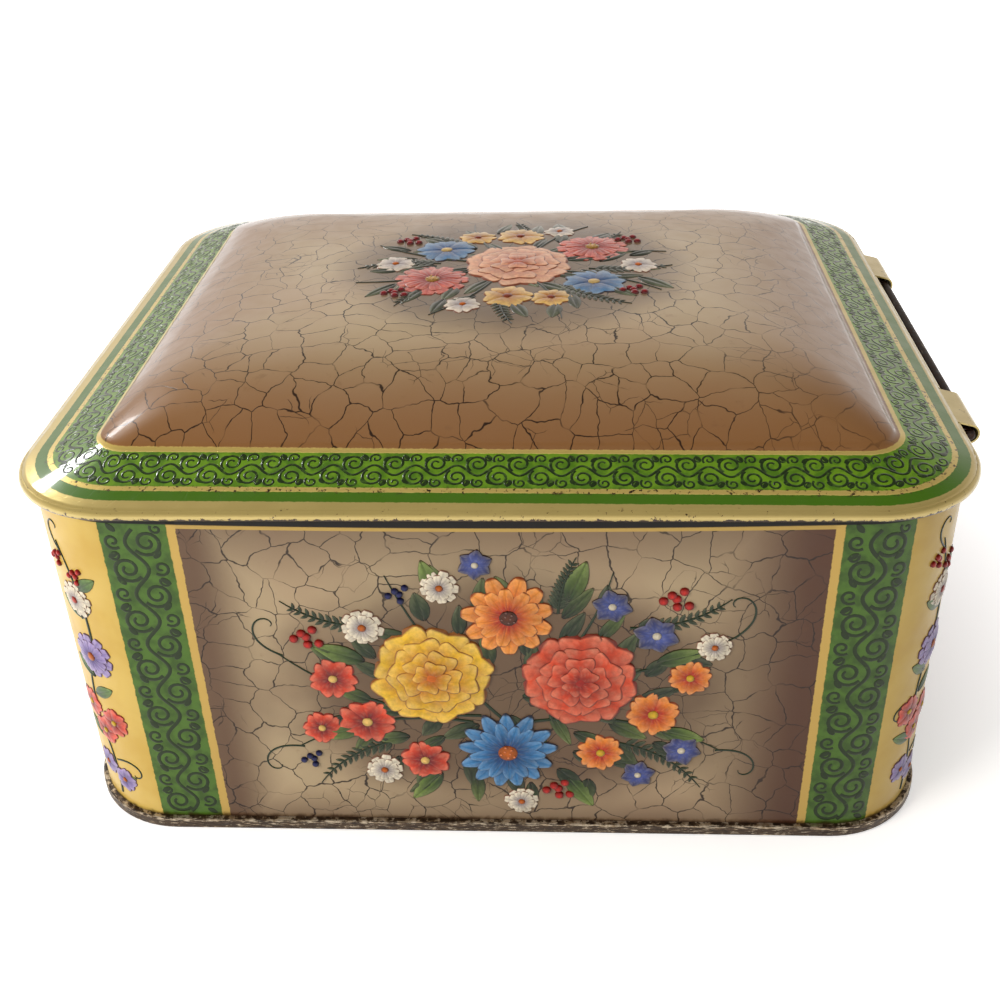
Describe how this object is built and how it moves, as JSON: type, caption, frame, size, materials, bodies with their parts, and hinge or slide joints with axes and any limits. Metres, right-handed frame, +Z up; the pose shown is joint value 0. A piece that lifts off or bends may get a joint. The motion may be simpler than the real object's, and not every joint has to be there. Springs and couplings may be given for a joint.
{
  "type": "hinged tin box",
  "caption": "Hinged rectangular tin box for recipe cards, with rounded corners, a domed lid with a rolled edge, a wire hinge and a double-seamed base.",
  "frame": {"origin": "on the resting plane, under the middle of the whole footprint, hinge included", "axes": "+Z up, +X towards the hinge side, -Y towards the viewer's front"},
  "size_m": [0.2206, 0.188, 0.113],
  "materials": {
    "litho_body": "glossy printed tinplate",
    "litho_lid": "glossy printed tinplate",
    "tinplate": "worn bare tinplate",
    "dark_steel": "dark tarnished steel"
  },
  "bodies": {
    "box": {"body_shell": "litho_body", "base_plate": "tinplate", "hinge_plate": "dark_steel", "hinge_pin": "dark_steel"},
    "lid": {"lid": "litho_lid"}
  },
  "joints": [
    {"name": "lid_hinge", "type": "hinge", "parent": "box", "child": "lid", "pos_m": [0.10785, 0, 0.0915], "axis": [0, 1, 0], "range_deg": [0, 105]}
  ]
}
